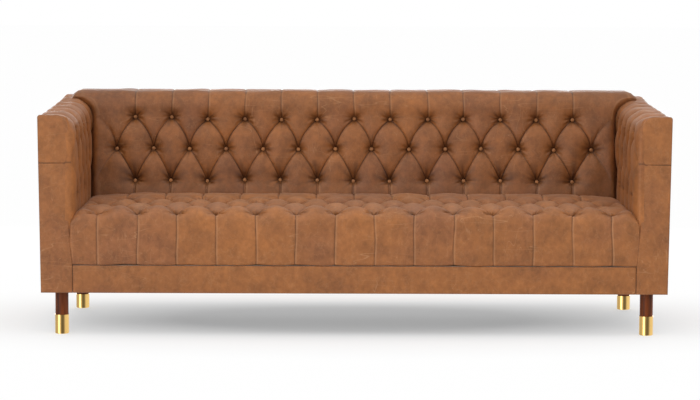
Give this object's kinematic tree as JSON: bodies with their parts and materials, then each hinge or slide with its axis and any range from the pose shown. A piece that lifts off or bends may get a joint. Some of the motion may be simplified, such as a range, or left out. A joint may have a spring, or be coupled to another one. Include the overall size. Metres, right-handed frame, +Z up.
{
  "type": "chesterfield sofa",
  "caption": "Long low sofa with a diamond-tufted tight seat, back and equal-height arms in tan leather, on round walnut legs with brass caps",
  "frame": {"origin": "on the floor, under the centre of the sofa's bounding box", "axes": "+X along the sofa to the right seen from the front, +Y to the back, +Z up"},
  "size_m": [2.286, 0.92, 0.846],
  "materials": {
    "seat_leather": "waxed pull-up leather, soft satin",
    "back_leather": "waxed pull-up leather, soft satin",
    "arm_leather": "waxed pull-up leather, soft satin",
    "panel_leather": "waxed pull-up leather, soft satin",
    "button_leather": "waxed pull-up leather, rubbed",
    "frame_timber": "planed, unfinished",
    "frame_ply": "birch plywood, unfinished",
    "leg_timber": "oiled walnut, satin",
    "ferrule_brass": "polished",
    "spring_steel": "oil-blackened wire",
    "fixing_steel": "zinc plated",
    "deck_cloth": "woven hessian",
    "dust_cloth": "matt non-woven cloth",
    "rail_wadding": "polyester wadding"
  },
  "bodies": {
    "root": {"front_rail": "frame_timber", "seat_rear_rail": "frame_timber", "rear_rail": "frame_timber", "seat_stretchers": "frame_timber", "back_top_rail": "frame_timber", "back_board": "frame_ply", "back_ribs": "frame_ply", "corner_blocks": "frame_timber", "block_screws": "fixing_steel", "seat_springs": "spring_steel", "spring_clips": "fixing_steel", "seat_deck": "deck_cloth", "seat_pad": "seat_leather", "back_pad": "back_leather", "back_buttons": "button_leather", "outside_back_panel": "panel_leather", "front_rail_cover": "panel_leather", "front_rail_padding": "rail_wadding", "dust_cover": "dust_cloth", "leg_plates": "fixing_steel", "plate_screws": "fixing_steel", "hanger_bolts": "fixing_steel", "left_side_rail": "frame_timber", "right_side_rail": "frame_timber", "left_front_post": "frame_timber", "right_front_post": "frame_timber", "left_rear_post": "frame_timber", "right_rear_post": "frame_timber", "left_arm_stay": "frame_timber", "right_arm_stay": "frame_timber", "left_arm_top_rail": "frame_timber", "right_arm_top_rail": "frame_timber", "left_arm_board": "frame_ply", "right_arm_board": "frame_ply", "left_facing_board": "frame_ply", "right_facing_board": "frame_ply", "left_arm_pad": "arm_leather", "right_arm_pad": "arm_leather", "left_arm_buttons": "button_leather", "right_arm_buttons": "button_leather", "left_outside_arm_panel": "panel_leather", "right_outside_arm_panel": "panel_leather", "left_upper_facing": "panel_leather", "right_upper_facing": "panel_leather", "left_lower_facing": "panel_leather", "right_lower_facing": "panel_leather", "left_front_leg": "leg_timber", "right_front_leg": "leg_timber", "left_rear_leg": "leg_timber", "right_rear_leg": "leg_timber", "left_front_ferrule": "ferrule_brass", "right_front_ferrule": "ferrule_brass", "left_rear_ferrule": "ferrule_brass", "right_rear_ferrule": "ferrule_brass"}
  },
  "joints": []
}
